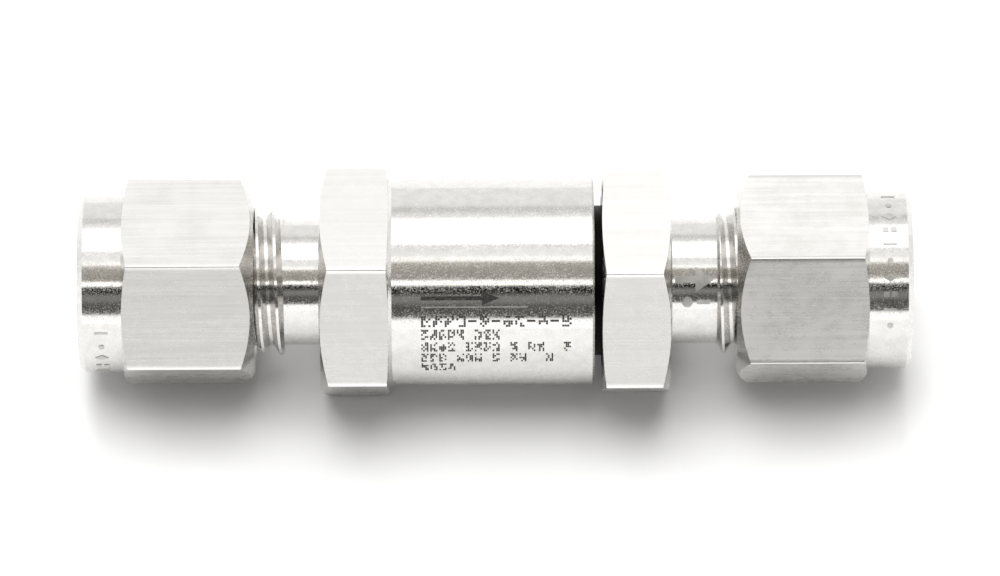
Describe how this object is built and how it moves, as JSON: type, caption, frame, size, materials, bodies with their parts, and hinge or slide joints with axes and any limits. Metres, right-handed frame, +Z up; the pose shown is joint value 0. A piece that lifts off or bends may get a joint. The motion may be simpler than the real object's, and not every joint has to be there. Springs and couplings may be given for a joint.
{
  "type": "in-line check valve",
  "caption": "In-line spring poppet check valve with a compression tube fitting at each end: round barrel between a hexagonal body and cap, and union nuts that unscrew.",
  "frame": {"origin": "on the flow axis, half-way along the valve", "axes": "+X along the flow, from the inlet nut to the outlet nut; +Z up, square to a flat of the body hexagon"},
  "size_m": [0.062, 0.019, 0.0168],
  "materials": {
    "body_steel": "satin machined stainless steel",
    "nut_steel": "satin machined stainless steel with a lengthwise grain",
    "ferrule_steel": "fine turned stainless steel",
    "poppet_steel": "fine turned stainless steel",
    "spring_steel": "drawn stainless spring wire",
    "seal_rubber": "matt black fluorocarbon rubber",
    "backup_plastic": "white PTFE",
    "marking": "black etched mark"
  },
  "bodies": {
    "valve_body": {"valve_body": "body_steel", "outlet_cap": "body_steel", "body_o_ring": "seal_rubber", "backup_ring": "backup_plastic", "poppet_stop": "poppet_steel", "poppet_spring": "spring_steel"},
    "poppet": {"poppet": "poppet_steel", "poppet_seal": "seal_rubber"},
    "inlet_ferrules": {"inlet_front_ferrule": "ferrule_steel", "inlet_back_ferrule": "ferrule_steel"},
    "inlet_nut": {"inlet_nut": "nut_steel"},
    "outlet_ferrules": {"outlet_front_ferrule": "ferrule_steel", "outlet_back_ferrule": "ferrule_steel"},
    "outlet_nut": {"outlet_nut": "nut_steel"}
  },
  "joints": [
    {"name": "poppet_lift", "type": "slide", "parent": "valve_body", "child": "poppet", "axis": [1, 0, 0], "range_m": [0, 0.0018], "stiffness_N_per_m": 250, "springref_m": -0.0019, "deforming": ["poppet_spring"]},
    {"name": "inlet_ferrule_slide", "type": "slide", "parent": "valve_body", "child": "inlet_ferrules", "axis": [-1, 0, 0], "range_m": [0, 0.00635]},
    {"name": "inlet_nut_turn", "type": "hinge", "parent": "inlet_ferrules", "child": "inlet_nut", "pos_m": [-0.0246, 0, 0], "axis": [-1, 0, 0], "range_deg": [0, 1800]},
    {"name": "outlet_ferrule_slide", "type": "slide", "parent": "valve_body", "child": "outlet_ferrules", "axis": [1, 0, 0], "range_m": [0, 0.00635]},
    {"name": "outlet_nut_turn", "type": "hinge", "parent": "outlet_ferrules", "child": "outlet_nut", "pos_m": [0.0246, 0, 0], "axis": [1, 0, 0], "range_deg": [0, 1800]}
  ],
  "couplings": [
    {"joint": "inlet_nut_turn", "follows": "inlet_ferrule_slide", "rad_per_m": 4947.4},
    {"joint": "outlet_nut_turn", "follows": "outlet_ferrule_slide", "rad_per_m": 4947.4}
  ]
}
